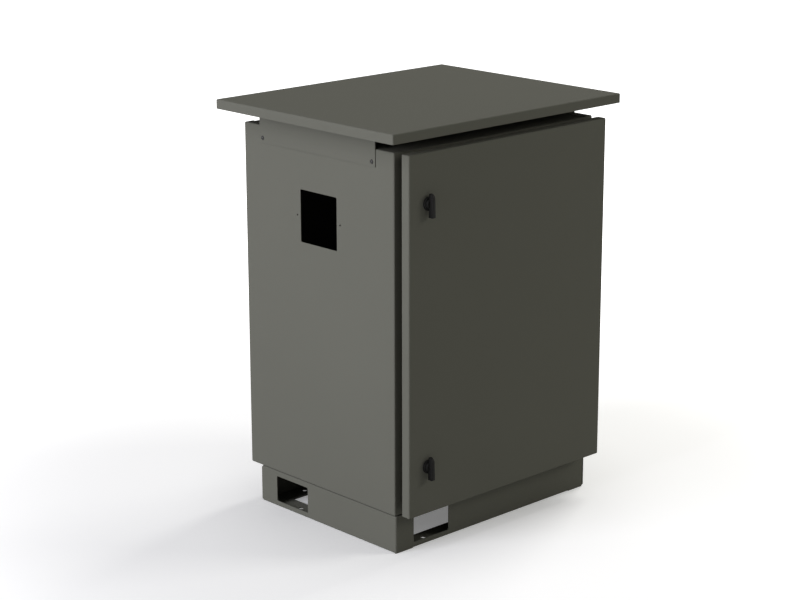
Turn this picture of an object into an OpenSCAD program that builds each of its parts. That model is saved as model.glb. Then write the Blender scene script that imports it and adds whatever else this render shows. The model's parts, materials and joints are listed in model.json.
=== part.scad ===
/* [Body] */
// Width of the body
body_w = 600; // [580:5:760]
// Depth of the body, front frame to back
body_d = 474; // [420:2:700]
// Height of the body
body_h = 782; // [560:2:1200]
// Sheet thickness of the body, door and roof
sheet = 1.5; // [1:0.25:2]
// Inside radius of the sheet's bends
bend_r = 1.5; // [1:0.25:2]
// Width of the front frame round the door opening
frame_w = 26; // [24:0.5:30]

/* [Fan cut-out] */
// Side of the square cut-out in the left panel
fan_cut = 115.5; // [80:0.5:160]
// Corner radius of the cut-out
fan_cut_r = 3; // [1:0.5:10]
// Centre of the cut-out behind the body's front
fan_back = 233; // [180:1:300]
// Centre of the cut-out below the body's top
fan_down = 178.5; // [170:0.5:300]
// Distance between the two screw holes beside the cut-out
fan_hole_pitch = 136; // [124:0.5:180]
// Diameter of those screw holes
fan_hole_d = 4.2; // [3:0.1:6]

/* [Roof] */
// How far the roof stands out past the body on every side
roof_overhang = 43; // [25:1:80]
// Clear air gap between the body's top and the roof's skirt
roof_gap = 28; // [20:1:60]
// Height of the roof's turned-down skirt
roof_skirt = 21; // [15:1:40]
// Distance from the body's front and back to the ends of a roof bracket
bracket_inset = 54; // [40:1:90]
// How far a bracket reaches down the body's side
bracket_lap = 37; // [30:1:60]
// Sheet thickness of a bracket
bracket_t = 2; // [1.5:0.25:3]
// Width of the bracket's shelf under the roof
bracket_shelf = 32; // [26:1:50]
// Distance of the bracket's screws from its lower edge and its ends
bracket_screw_inset = 10; // [8:0.5:14]

/* [Plinth] */
// Distance of the plinth's sides inside the body's sides
plinth_side_inset = 3; // [0:0.5:3.5]
// Distance of the plinth's back in front of the body's back
plinth_rear_inset = 32; // [0:1:60]
// Height of the plinth
plinth_h = 84; // [80:1:150]
// Gap between the plinth and the body, which the washers round their bolts hold open
plinth_gap = 2; // [1:0.25:4]
// Sheet thickness of the plinth
plinth_t = 2; // [1.5:0.25:3]
// Inside radius of the plinth's bends
plinth_bend_r = 1.5; // [1:0.5:5]
// Width of the plinth's inward flanges
plinth_flange = 50; // [44:1:60]
// Width of the cable cut-out in each face
cable_cut_w = 105; // [60:1:140]
// Height of the cable cut-out
cable_cut_h = 59.5; // [30:0.5:60]
// Lower edge of the cable cut-out above the floor
cable_cut_up = 12; // [10:0.5:14]
// Corner radius of the cable cut-out
cable_cut_r = 3; // [1:0.5:10]
// Distance of the cable cut-out from the left end of its face
cable_cut_inset = 52.5; // [40:0.5:80]
// Diameter of the floor anchor holes
anchor_d = 11; // [8:0.5:14]
// Distance of the anchor holes from the plinth's faces
anchor_inset = 25; // [18:0.5:30]
// Distance of the anchor holes from the plinth's corners
anchor_corner = 105; // [90:1:130]

/* [Door] */
// Distance of the door's edges inside the body's sides
door_side_inset = 2; // [0:0.25:3]
// Height of the door's lower edge above the body's underside
door_lift = 4; // [0:0.5:10]
// Gap between the body's front and the door's folded edge
door_gap = 21; // [19:0.5:26]
// Depth of the door's folded edge
door_depth = 21; // [19:0.5:26]
// Width of the door gasket
gasket_w = 16; // [10:0.5:16]
// Thickness of the door gasket
gasket_t = 10; // [6:0.5:11]
// Depth of the two stiffeners inside the door
stiffener_depth = 15; // [10:0.5:20]
// Width of a stiffener's crown
stiffener_w = 30; // [20:1:50]
// Width of a stiffener's feet
stiffener_foot = 14; // [10:1:20]

/* [Hinges] */
// Distance of the hinge axis in front of the body
hinge_standoff = 14; // [13:0.25:15]
// Outer radius of a hinge knuckle
knuckle_r = 5.5; // [5:0.25:5.75]
// Radius of a hinge pin
hinge_pin_r = 3; // [2:0.25:3.25]
// Length of each of a hinge's two knuckles
knuckle_len = 30; // [24:1:50]
// Thickness of the hinge leaves
leaf_t = 2; // [1.5:0.25:2.5]
// Distance of a hinge's middle from the door's end
hinge_end = 110; // [80:1:200]

/* [Latches] */
// Distance of a latch's axis from the door's free edge
latch_inset = 54; // [48:0.5:62]
// Distance of a latch's axis from the door's end
latch_end = 106; // [80:1:200]
// Diameter of the latch's rosette
rosette_d = 30; // [28:0.5:36]
// Thickness of the rosette
rosette_t = 4; // [3:0.25:6]
// Diameter of the latch's barrel
barrel_d = 18; // [16:0.5:20]
// Length of the barrel behind the door's skin
barrel_len = 18; // [14:0.5:24]
// Diameter of the spindle
spindle_d = 10; // [9:0.25:11]
// Length of the wing
wing_len = 50; // [40:1:64]
// Width of the wing at its upper end
wing_top_w = 7; // [6:0.25:10]
// Width of the wing at its lower end
wing_low_w = 10; // [8:0.25:14]
// Height of the wing above the rosette
wing_h = 12; // [9:0.5:16]
// How far a closed cam reaches behind the front frame
cam_hold = 12; // [10:0.5:14]
// Width of the cam
cam_w = 16; // [14:0.5:18]
// Thickness of the cam
cam_t = 3; // [2:0.25:4]

/* [Rack] */
// Distance from the body's side to the clear width between the rails
rack_side = 74.6; // [64:0.1:90]
// Width of a rail's front face
rail_w = 36.6; // [26:0.1:40]
// Depth of a rail's side face
rail_d = 30; // [24:1:45]
// Sheet thickness of a rail
rail_t = 2; // [1.5:0.25:2.5]
// Distance of the front rails behind the body's front
rail_front = 70; // [62:1:110]
// Distance of the rear rails in front of the body's back
rail_rear = 54; // [50:1:110]
// Clear height kept free above and below the rails
rail_margin = 20; // [15:1:40]
// Height of a rail support
support_h = 40; // [30:1:50]
// Distance of the rail supports from the body's front and back
support_inset = 40; // [36:1:46]

/* [Gland plate] */
// Width of the cable opening in the bottom panel
gland_cut_w = 300; // [200:5:360]
// Depth of the cable opening
gland_cut_d = 100; // [60:5:120]
// How far the gland plate laps the opening on every side
gland_lap = 20; // [18:1:30]
// Thickness of the gland plate
gland_t = 2; // [1.5:0.25:3]
// Thickness of the gland plate's gasket
gland_gasket_t = 2; // [1:0.25:3]
// Distance of the gland plate in front of the plinth's rear flange
gland_clear = 13; // [10:1:60]

/* [Fasteners] */
// Thread diameter of the bolts and studs
bolt_d = 6; // [5:0.5:6]
// Size across the flats of bolt heads and nuts
bolt_flats = 10; // [9:0.5:10]
// Height of a bolt head
bolt_head_h = 4; // [3:0.25:5]
// Height of a nut
nut_h = 5; // [4:0.25:6]
// Thread diameter of the button-head screws and the hinge studs
screw_d = 5; // [4:0.25:5]
// Head diameter of the button-head screws
screw_head_d = 9.5; // [8:0.25:10]
// Head height of the button-head screws
screw_head_h = 2.75; // [2:0.25:3]
// Size across the flats of the nuts on the screws and hinge studs
screw_nut_flats = 8; // [7:0.25:8]
// Height of the nuts on the screws and hinge studs
screw_nut_h = 4; // [3:0.25:4.5]

/* [Hidden] */
$fn = 48;

// Finishes
paint = "#5f5f58";
black = "#1b1b1b";
zinc = "#b9bcc0";
rubber = "#2b2b2b";
brass = "#b08d3c";

// Chamfer of a bolt head's or nut's corners: its angle, and the flat circle's share of the flats
chamfer_angle = 30;
chamfer_share = 0.95;

// Clearances, and the overrun of every cut
overrun = 1;
running_fit = 0.05;
hole_play = 0.3;
seal_gap = 0.3;
lap_play = 0.3;

// Sheet bends
bend_out = bend_r + sheet;
plinth_bend_out = plinth_bend_r + plinth_t;
bracket_bend_r = bend_r;
rail_bend_r = bend_r;

// Levels and faces: the front looks along -Y, and the origin is the plinth's middle on the floor
plinth_w = body_w - 2 * plinth_side_inset;
plinth_d = body_d - plinth_rear_inset;
front_y = -plinth_d / 2;
rear_y = front_y + body_d;
side_x = body_w / 2;
floor_z = plinth_h + plinth_gap;
top_z = floor_z + body_h;
mid_y = front_y + body_d / 2;
plinth_x = plinth_w / 2;

// Door opening in the front frame
open_low_z = floor_z + frame_w;
open_high_z = top_z - frame_w;
open_x = side_x - frame_w;
frame_edge_x = open_x + bend_out;

// Door: its lower edge clears the plinth and its upper edge is level with the body's top
door_w = body_w - 2 * door_side_inset;
door_h = body_h - door_lift;
door_front_y = front_y - door_gap - door_depth;
door_skin_y = door_front_y + sheet;
door_high_z = top_z;
door_low_z = top_z - door_h;
door_x = door_w / 2;
lip_tip_y = door_skin_y + gasket_t + seal_gap;
lip_len = front_y - lip_tip_y - bend_r;
gasket_half_w = open_x + sheet / 2 + gasket_w / 2;
gasket_low_z = open_low_z - sheet / 2 - gasket_w / 2;
gasket_high_z = open_high_z + sheet / 2 + gasket_w / 2;
crown_share = 0.55;
base_share = 0.4;
gasket_corner_share = 0.75;
stiffener_share = 0.25;
stiffener_x = door_w * stiffener_share;
stiffener_gap = 12;

// Roof
roof_low_z = top_z + roof_gap;
roof_top_z = roof_low_z + roof_skirt;
roof_under_z = roof_top_z - sheet;
bracket_low_z = top_z - bracket_lap;
bracket_front_y = front_y + bracket_inset;
bracket_len = body_d - 2 * bracket_inset;
bracket_screw_ys = [bracket_front_y + bracket_screw_inset,
                    bracket_front_y + bracket_len - bracket_screw_inset];
bracket_stud_share = 0.2;
bracket_stud_ys = [bracket_front_y + bracket_len * bracket_stud_share,
                   bracket_front_y + bracket_len * (1 - bracket_stud_share)];
bracket_stud_x = side_x + bracket_t - bracket_shelf / 2;
stud_tail = 3;

// Hinges: a body leaf below and a door leaf above on each pin
hinge_x = door_x - sheet - knuckle_r;
hinge_y = front_y - hinge_standoff;
hinge_zs = [door_high_z - hinge_end, door_low_z + hinge_end];
knuckle_gap = 0.3;
leaf_bend_r = bend_r;
body_leaf_x = frame_edge_x + lap_play;
body_leaf_foot = hinge_x - knuckle_r - leaf_bend_r - body_leaf_x;
body_stud_x = body_leaf_x + body_leaf_foot / 2;
body_stud_share = 0.6;
door_leaf_x = gasket_half_w + lap_play;
door_leaf_foot = hinge_x + knuckle_r - leaf_t - leaf_bend_r - door_leaf_x;
door_stud_x = door_leaf_x + door_leaf_foot / 2;
door_stud_shares = [0.25, 0.75];

// Latches, worked out from the door's outer face inwards
latch_x = -door_x + latch_inset;
latch_zs = [door_high_z - latch_end, door_low_z + latch_end];
latch_seal_t = 1;
latch_nut_flats = 24;
latch_nut_h = 5;
cam_gap = 1;
cam_reach = open_x + cam_hold + latch_x;
cam_front = door_gap + door_depth + sheet + cam_gap;
cam_back = cam_front + cam_t;
cam_square = 7;
cam_screw_len = 12;
cam_screw_head_d = 12;
knob_seat = latch_seal_t + rosette_t + seal_gap;
hub_d = 22;
hub_h = 3.5;
hub_top_share = 0.84;
wing_drop = 3.3;
shoulder_share = 0.85;

// Sizes of the rack pattern: unit height, hole column behind the rail's edge, and square hole
rack_unit = 44.45;
rack_hole_inset = 7.15;
rack_hole = 9.5;

// Rack: the clear width suits 19-inch equipment, with as many whole units as the door opening holds
rack_opening = body_w - 2 * rack_side;
rack_pitch = rack_opening + 2 * rack_hole_inset;
rack_units = floor((open_high_z - open_low_z - 2 * rail_margin) / rack_unit);
rack_hole_shares = [1 / 7, 1 / 2, 6 / 7];
rail_len = rack_units * rack_unit;
rail_low_z = (open_low_z + open_high_z - rail_len) / 2;
rail_high_z = rail_low_z + rail_len;
rail_out_x = rack_opening / 2 + rail_w;
support_w = side_x - sheet - rail_out_x;
support_len = body_d - 2 * support_inset;
rail_bolt_share = 0.6;
rail_bolt_back = rail_d * rail_bolt_share;
rail_bolt_len = 12;
rail_bolt_zs = [rail_high_z - support_h / 2, rail_low_z + support_h / 2];
rail_bolt_ys = [front_y + rail_front + rail_bolt_back, rear_y - rail_rear - rail_bolt_back];

// Plinth
flange_end_x = plinth_x - plinth_flange;
corner_tab = 30;
corner_stud_shares = [0.3, 0.7];
corner_stud_y = front_y + plinth_bend_out + corner_tab / 2;
anchor_xs = plinth_x - anchor_corner;
anchor_ys = plinth_d / 2 - anchor_corner;
plinth_bolt_inset_share = 0.4;
plinth_bolt_x = open_x + (frame_w - bend_out) * plinth_bolt_inset_share;
plinth_bolt_share = 0.34;
plinth_bolt_y = plinth_d * plinth_bolt_share;
plinth_bolt_len = 2 * sheet + plinth_gap + plinth_t + nut_h + stud_tail;
washer_share = 2;
washer_d = washer_share * bolt_d;

// Gland plate and earth stud
panel_top_z = floor_z + 2 * sheet;
gland_w = gland_cut_w + 2 * gland_lap;
gland_d = gland_cut_d + 2 * gland_lap;
gland_y = plinth_d / 2 - plinth_flange - gland_clear - gland_d / 2;
gland_seat_z = panel_top_z + gland_gasket_t;
gland_screw_len = 12;
earth_share = 0.6;
earth_x = -(rack_opening / 2 + rail_w * earth_share);
earth_y = front_y + rail_front / 2;
earth_len = 25;

// Mirrors its children across the middle plane for the side at +X
module on_side(side) {
    if (side < 0) children();
    else mirror([1, 0, 0]) children();
}

// Quarter of a bent sheet about the origin, in the quadrant where x and y are positive
module bend_2d(t, r) {
    intersection() {
        difference() {
            circle(r + t);
            circle(r);
        }
        square(r + t);
    }
}

// A folded strip that starts at the origin along +X with its thickness on its left.
// Each leg is a straight length and the turn after it: 1 to the left, -1 to the right, 0 at the end.
module folded_2d(legs, t, r, i = 0) {
    length = legs[i][0];
    turn = legs[i][1];
    square([length, t]);
    if (turn > 0) {
        translate([length, t + r]) mirror([0, 1]) bend_2d(t, r);
        translate([length + r + t, t + r]) rotate(90) folded_2d(legs, t, r, i + 1);
    }
    if (turn < 0) {
        translate([length, -r]) bend_2d(t, r);
        translate([length + r, -r]) rotate(-90) folded_2d(legs, t, r, i + 1);
    }
}

// A rectangle with round corners, centred
module rounded_2d(w, h, r) {
    square([w - 2 * r, h], center = true);
    for (sx = [0, 1], sy = [0, 1]) {
        mirror([sx, 0]) mirror([0, sy]) translate([w / 2 - r, h / 2 - r])
            intersection() {
                circle(r);
                square(r);
            }
    }
    for (sx = [-1, 1]) {
        translate([sx * (w - r) / 2, 0]) square([r, h - 2 * r], center = true);
    }
}

// Section of a pan's edge: the bend and the upright skirt, measured outwards from the flat plate
module skirt_2d(depth, t, r) {
    translate([0, r + t]) mirror([0, 1]) bend_2d(t, r);
    translate([r, r + t]) square([t, depth - r - t]);
}

// A folded pan with closed corners: its outer face lies on z = 0 and its skirt rises to depth
module pan(w, l, depth, t, r) {
    flat_w = w - 2 * (r + t);
    flat_l = l - 2 * (r + t);
    translate([-flat_w / 2, -flat_l / 2, 0]) cube([flat_w, flat_l, t]);
    for (edge = [0 : 3]) {
        along = edge % 2 == 0 ? flat_l : flat_w;
        reach = (edge % 2 == 0 ? flat_w : flat_l) / 2;
        rotate(90 * edge) translate([reach, along / 2, 0]) {
            rotate([90, 0, 0]) linear_extrude(along) skirt_2d(depth, t, r);
            rotate_extrude(angle = 90) skirt_2d(depth, t, r);
        }
    }
}

// A hex prism on z = 0, its corners chamfered at both ends
module hex_prism(flats, h) {
    wide_d = flats * chamfer_share + 2 * (h + overrun) / tan(chamfer_angle);
    narrow_d = flats * chamfer_share - 2 * overrun / tan(chamfer_angle);
    intersection() {
        cylinder(d = flats / cos(30), h = h, $fn = 6);
        translate([0, 0, -overrun]) cylinder(d1 = wide_d, d2 = narrow_d, h = h + 2 * overrun);
        translate([0, 0, -overrun]) cylinder(d1 = narrow_d, d2 = wide_d, h = h + 2 * overrun);
    }
}

// A hex nut on z = 0
module hex_nut(d, flats, h) {
    difference() {
        hex_prism(flats, h);
        translate([0, 0, -overrun]) cylinder(d = d + 2 * running_fit, h = h + 2 * overrun);
    }
}

// A hex bolt whose head seats on z = 0, with its shank below
module hex_bolt(d, flats, head_h, shank_len) {
    hex_prism(flats, head_h);
    translate([0, 0, -shank_len]) cylinder(d = d, h = shank_len);
}

// A button-head screw with a hex socket, seated on z = 0 with its shank below
module button_screw(d, head_d, head_h, shank_len) {
    ball_r = (head_d * head_d / 4 + head_h * head_h) / (2 * head_h);
    difference() {
        intersection() {
            cylinder(d = head_d, h = head_h);
            translate([0, 0, head_h - ball_r]) sphere(ball_r);
        }
        translate([0, 0, head_h / 2]) cylinder(d = head_d / 3, h = head_h, $fn = 6);
    }
    translate([0, 0, -shank_len]) cylinder(d = d, h = shank_len);
}

// A round clearance hole along Z, centred on z = 0
module clearance_hole(d, depth) {
    cylinder(d = d + 2 * hole_play, h = depth, center = true);
}

// One side panel, drawn at -X: a pan whose front flange carries the forward sealing lip
module side_pan() {
    translate([-side_x, mid_y, floor_z + body_h / 2]) rotate([90, 0, 90])
        pan(body_d, body_h, frame_w - bend_out, sheet, bend_r);
    translate([-side_x + frame_w - 2 * bend_out, front_y, open_low_z])
        linear_extrude(open_high_z - open_low_z)
            folded_2d([[bend_out, -1], [lip_len, 0]], sheet, bend_r);
}

// Holes that every side panel has: bracket screws above and plinth bolts below
module side_pan_holes() {
    for (y = bracket_screw_ys) {
        translate([-side_x, y, bracket_low_z + bracket_screw_inset]) rotate([0, 90, 0])
            clearance_hole(screw_d, 4 * sheet);
    }
    for (y = [-1, 1]) {
        translate([-plinth_bolt_x, y * plinth_bolt_y, floor_z]) clearance_hole(bolt_d, 4 * sheet);
    }
}

module side_panel_left() {
    color(paint) difference() {
        side_pan();
        side_pan_holes();
        translate([-side_x - overrun, front_y + fan_back, top_z - fan_down]) rotate([90, 0, 90]) {
            linear_extrude(sheet + 2 * overrun) rounded_2d(fan_cut, fan_cut, fan_cut_r);
            for (side = [-1, 1]) {
                translate([side * fan_hole_pitch / 2, 0, 0])
                    cylinder(d = fan_hole_d, h = sheet + 2 * overrun);
            }
        }
    }
}

module side_panel_right() {
    color(paint) on_side(1) difference() {
        side_pan();
        side_pan_holes();
        hinge_stud_holes();
    }
}

// Holes for the hinge leaves' studs, drawn on the panel at -X
module hinge_stud_holes() {
    for (z = hinge_zs, end = [-1, 1]) {
        translate([-body_stud_x, front_y, z + end * body_stud_share * knuckle_len]) rotate([90, 0, 0])
            clearance_hole(screw_d, 4 * sheet);
    }
}

module back_panel() {
    color(paint) translate([0, rear_y - sheet, floor_z + body_h / 2]) rotate([90, 0, 0])
        pan(body_w - 2 * sheet, body_h - 4 * sheet, frame_w, sheet, bend_r);
}

// The panel across one end of the body, drawn as the bottom: it laps the side panels' flanges
module end_panel() {
    plate_w = body_w - 2 * bend_out;
    upright = frame_w - sheet - 2 * bend_out;
    translate([-plate_w / 2, front_y + bend_out, floor_z + sheet])
        cube([plate_w, body_d - 2 * bend_out, sheet]);
    translate([-frame_edge_x, front_y + 2 * bend_out, floor_z + sheet])
        rotate([90, 0, -90]) mirror([0, 0, 1]) linear_extrude(2 * frame_edge_x)
            folded_2d([[bend_out, 1], [upright, -1], [lip_len, 0]], sheet, bend_r);
}

module top_panel() {
    color(paint) translate([0, 0, floor_z + top_z]) mirror([0, 0, 1]) end_panel();
}

module bottom_panel() {
    color(paint) difference() {
        end_panel();
        translate([-gland_cut_w / 2, gland_y - gland_cut_d / 2, floor_z])
            cube([gland_cut_w, gland_cut_d, panel_top_z - floor_z + overrun]);
        gland_screw_places() clearance_hole(screw_d, 4 * sheet);
        for (x = [-1, 1], y = [-1, 1]) {
            translate([x * plinth_bolt_x, y * plinth_bolt_y, panel_top_z])
                clearance_hole(bolt_d, 4 * sheet);
        }
    }
}

// Puts its children at each gland plate screw, on the bottom panel's upper face
module gland_screw_places() {
    for (x = [-1, 0, 1], y = [-1, 1]) {
        translate([x * (gland_w - gland_lap) / 2, gland_y + y * (gland_d - gland_lap) / 2, panel_top_z])
            children();
    }
}

module gland_plate() {
    color(zinc) difference() {
        translate([-gland_w / 2, gland_y - gland_d / 2, gland_seat_z]) cube([gland_w, gland_d, gland_t]);
        gland_screw_places() clearance_hole(screw_d, 4 * (gland_gasket_t + gland_t));
    }
}

module gland_plate_gasket() {
    color(rubber) difference() {
        translate([-gland_w / 2, gland_y - gland_d / 2, panel_top_z])
            cube([gland_w, gland_d, gland_gasket_t]);
        translate([-gland_cut_w / 2, gland_y - gland_cut_d / 2, panel_top_z - overrun])
            cube([gland_cut_w, gland_cut_d, gland_gasket_t + 2 * overrun]);
        gland_screw_places() clearance_hole(screw_d, 4 * (gland_gasket_t + gland_t));
    }
}

module gland_plate_screws() {
    color(zinc) gland_screw_places() translate([0, 0, gland_gasket_t + gland_t])
        button_screw(screw_d, screw_head_d, screw_head_h, gland_screw_len);
}

// A front rail at -X: an L section with a column of square holes in its front face
module rail() {
    difference() {
        translate([-rack_opening / 2, front_y + rail_front + rail_t, rail_low_z]) linear_extrude(rail_len)
            rotate(180) folded_2d([[rail_w - rail_t - rail_bend_r, -1],
                                   [rail_d - rail_t - rail_bend_r, 0]], rail_t, rail_bend_r);
        for (unit = [0 : rack_units - 1], share = rack_hole_shares) {
            translate([-rack_pitch / 2, front_y + rail_front, rail_low_z + (unit + share) * rack_unit])
                cube([rack_hole, 4 * rail_t, rack_hole], center = true);
        }
        for (z = rail_bolt_zs) {
            translate([-rail_out_x, rail_bolt_ys[0], z]) rotate([0, 90, 0])
                clearance_hole(bolt_d, 4 * rail_t);
        }
    }
}

// Turns its children to face the rear, so that they stand at the rear rails
module at_rear() {
    translate([0, front_y + rail_front + rear_y - rail_rear, 0]) mirror([0, 1, 0]) children();
}

module rack_rail_front_left() {
    color(zinc) rail();
}

module rack_rail_front_right() {
    color(zinc) on_side(1) rail();
}

module rack_rail_rear_left() {
    color(zinc) at_rear() rail();
}

module rack_rail_rear_right() {
    color(zinc) on_side(1) at_rear() rail();
}

// A rail support at -X with its upper face at the given height: a channel open below
module rail_support(high_z) {
    difference() {
        translate([-side_x + 2 * sheet, front_y + support_inset, high_z - support_h])
            rotate([90, 0, 0]) mirror([0, 0, 1]) linear_extrude(support_len)
                rotate(90) folded_2d([[support_h - bend_out, -1], [support_w - 2 * bend_out, -1],
                                      [support_h - bend_out, 0]], sheet, bend_r);
        for (y = rail_bolt_ys) {
            translate([-rail_out_x, y, high_z - support_h / 2]) rotate([0, 90, 0])
                clearance_hole(bolt_d, 4 * sheet);
        }
    }
}

module rail_support_upper_left() {
    color(zinc) rail_support(rail_high_z);
}

module rail_support_upper_right() {
    color(zinc) on_side(1) rail_support(rail_high_z);
}

module rail_support_lower_left() {
    color(zinc) rail_support(rail_low_z + support_h);
}

module rail_support_lower_right() {
    color(zinc) on_side(1) rail_support(rail_low_z + support_h);
}

// Puts its children at each rail bolt, on the rail's outer face with +Z towards the middle
module rail_bolt_places() {
    for (side = [-1, 1], y = rail_bolt_ys, z = rail_bolt_zs) {
        on_side(side) translate([-rail_out_x, y, z]) rotate([0, 90, 0]) children();
    }
}

module rail_bolts() {
    color(zinc) rail_bolt_places() translate([0, 0, rail_t])
        hex_bolt(bolt_d, bolt_flats, bolt_head_h, rail_bolt_len);
}

module rail_nuts() {
    color(zinc) rail_bolt_places() translate([0, 0, -sheet - nut_h])
        hex_nut(bolt_d, bolt_flats, nut_h);
}

module roof_tray() {
    color(paint) translate([0, mid_y, roof_top_z]) rotate([180, 0, 0])
        pan(body_w + 2 * roof_overhang, body_d + 2 * roof_overhang, roof_skirt, sheet, bend_r);
}

// A roof bracket at -X: a plate on the body's side whose shelf turns in under the roof
module roof_bracket() {
    upright = roof_under_z - bracket_low_z - bracket_t - bracket_bend_r;
    shelf = bracket_shelf - bracket_t - bracket_bend_r;
    difference() {
        translate([-side_x, bracket_front_y, bracket_low_z])
            rotate([90, 0, 0]) mirror([0, 0, 1]) linear_extrude(bracket_len)
                rotate(90) folded_2d([[upright, -1], [shelf, 0]], bracket_t, bracket_bend_r);
        for (y = bracket_screw_ys) {
            translate([-side_x, y, bracket_low_z + bracket_screw_inset]) rotate([0, 90, 0])
                clearance_hole(screw_d, 4 * bracket_t);
        }
        for (y = bracket_stud_ys) {
            translate([-bracket_stud_x, y, roof_under_z]) clearance_hole(bolt_d, 4 * bracket_t);
        }
    }
}

module roof_bracket_left() {
    color(paint) roof_bracket();
}

module roof_bracket_right() {
    color(paint) on_side(1) roof_bracket();
}

// Puts its children at each bracket screw, on the body's side with +Z outwards
module bracket_screw_places() {
    for (side = [-1, 1], y = bracket_screw_ys) {
        on_side(side) translate([-side_x, y, bracket_low_z + bracket_screw_inset])
            rotate([0, -90, 0]) children();
    }
}

module roof_bracket_screws() {
    color(black) bracket_screw_places() translate([0, 0, bracket_t])
        button_screw(screw_d, screw_head_d, screw_head_h, bracket_t + sheet + screw_nut_h + stud_tail);
}

module roof_bracket_nuts() {
    color(zinc) bracket_screw_places() translate([0, 0, -sheet - screw_nut_h])
        hex_nut(screw_d, screw_nut_flats, screw_nut_h);
}

// Puts its children at each roof stud, under the roof's plate
module roof_stud_places() {
    for (side = [-1, 1], y = bracket_stud_ys) {
        on_side(side) translate([-bracket_stud_x, y, roof_under_z]) children();
    }
}

module roof_studs() {
    stud_len = bracket_t + nut_h + stud_tail;
    color(zinc) roof_stud_places() translate([0, 0, -stud_len]) cylinder(d = bolt_d, h = stud_len);
}

module roof_stud_nuts() {
    color(zinc) roof_stud_places() translate([0, 0, -bracket_t - nut_h])
        hex_nut(bolt_d, bolt_flats, nut_h);
}

// A plinth wall's channel section, run along +X with its outer face on y = 0 and its flanges inwards
module plinth_channel(length) {
    rotate([90, 0, 90]) linear_extrude(length) translate([plinth_flange, 0]) mirror([1, 0])
        folded_2d([[plinth_flange - plinth_bend_out, 1], [plinth_h - 2 * plinth_bend_out, 1],
                   [plinth_flange - plinth_bend_out, 0]], plinth_t, plinth_bend_r);
}

// The cable cut-out of a face, at its distance from the left end of a wall that runs along +X
module cable_cut() {
    translate([cable_cut_inset + cable_cut_w / 2, plinth_t + overrun, cable_cut_up + cable_cut_h / 2])
        rotate([90, 0, 0]) linear_extrude(plinth_t + 2 * overrun)
            rounded_2d(cable_cut_w, cable_cut_h, cable_cut_r);
}

// One half of the plinth: the front wall and the left wall, folded as one piece at their corner
module plinth_half() {
    wall_end = plinth_x - plinth_t - plinth_bend_out;
    side_len = plinth_d - plinth_bend_out;
    flange_len = plinth_d - plinth_bend_out - plinth_t - lap_play;
    tab_low_z = plinth_bend_out + lap_play;
    tab_h = plinth_h - 2 * tab_low_z;
    difference() {
        union() {
            // the corner between the two walls
            translate([-plinth_x + plinth_bend_out, front_y + plinth_bend_out, 0])
                mirror([1, 0]) mirror([0, 1]) linear_extrude(plinth_h) bend_2d(plinth_t, plinth_bend_r);
            // the front wall, flanged between the side flanges
            translate([-plinth_x + plinth_bend_out, front_y, 0])
                cube([plinth_flange - plinth_bend_out, plinth_t, plinth_h]);
            translate([-flange_end_x, front_y, 0]) plinth_channel(2 * flange_end_x - lap_play);
            translate([flange_end_x - lap_play, front_y, 0])
                cube([wall_end - flange_end_x + lap_play, plinth_t, plinth_h]);
            // the tab that laps the other half's side wall
            translate([wall_end, front_y + plinth_bend_out, tab_low_z]) mirror([0, 1])
                linear_extrude(tab_h) bend_2d(plinth_t, plinth_bend_r);
            translate([wall_end + plinth_bend_r, front_y + plinth_bend_out, tab_low_z])
                cube([plinth_t, corner_tab, tab_h]);
            // the side wall, flanged up to the other half's rear wall
            translate([-plinth_x, front_y + plinth_bend_out + flange_len, 0]) rotate(-90)
                plinth_channel(flange_len);
            translate([-plinth_x, front_y + plinth_bend_out, plinth_bend_out])
                cube([plinth_t, side_len, plinth_h - 2 * plinth_bend_out]);
        }
        translate([-plinth_x, front_y, 0]) cable_cut();
        translate([-plinth_x, -front_y, 0]) rotate(-90) cable_cut();
        for (end = [-1, 1]) {
            translate([end * anchor_xs, front_y + anchor_inset, 0])
                cylinder(d = anchor_d, h = 4 * plinth_t, center = true);
            translate([-plinth_x + anchor_inset, end * anchor_ys, 0])
                cylinder(d = anchor_d, h = 4 * plinth_t, center = true);
            translate([-plinth_bolt_x, end * plinth_bolt_y, plinth_h])
                clearance_hole(bolt_d, 4 * plinth_t);
        }
        for (share = corner_stud_shares) {
            translate([plinth_x - plinth_t, corner_stud_y, plinth_h * share]) rotate([0, 90, 0])
                clearance_hole(bolt_d, 4 * plinth_t);
        }
    }
}

module plinth_half_front_left() {
    color(paint) plinth_half();
}

module plinth_half_rear_right() {
    color(paint) rotate(180) plinth_half();
}

// Puts its children at each corner stud, on a side wall's inner face with +Z inwards
module corner_stud_places() {
    for (turn = [0, 180], share = corner_stud_shares) {
        rotate(turn) translate([plinth_x - plinth_t, corner_stud_y, plinth_h * share])
            rotate([0, -90, 0]) children();
    }
}

module plinth_corner_studs() {
    color(zinc) corner_stud_places() cylinder(d = bolt_d, h = plinth_t + nut_h + stud_tail);
}

module plinth_corner_nuts() {
    color(zinc) corner_stud_places() translate([0, 0, plinth_t]) hex_nut(bolt_d, bolt_flats, nut_h);
}

// Puts its children at each bolt between the plinth and the body, on the bottom panel's upper face
module plinth_bolt_places() {
    for (x = [-1, 1], y = [-1, 1]) {
        translate([x * plinth_bolt_x, y * plinth_bolt_y, panel_top_z]) children();
    }
}

module plinth_body_bolts() {
    color(zinc) plinth_bolt_places() hex_bolt(bolt_d, bolt_flats, bolt_head_h, plinth_bolt_len);
}

// Washers between the plinth's flanges and the body's
module plinth_washers() {
    color(zinc) plinth_bolt_places() translate([0, 0, -2 * sheet - plinth_gap])
        difference() {
            cylinder(d = washer_d, h = plinth_gap);
            translate([0, 0, plinth_gap / 2]) clearance_hole(bolt_d, plinth_gap + 2 * overrun);
        }
}

module plinth_body_nuts() {
    color(zinc) plinth_bolt_places() translate([0, 0, -2 * sheet - plinth_gap - plinth_t - nut_h])
        hex_nut(bolt_d, bolt_flats, nut_h);
}

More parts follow.
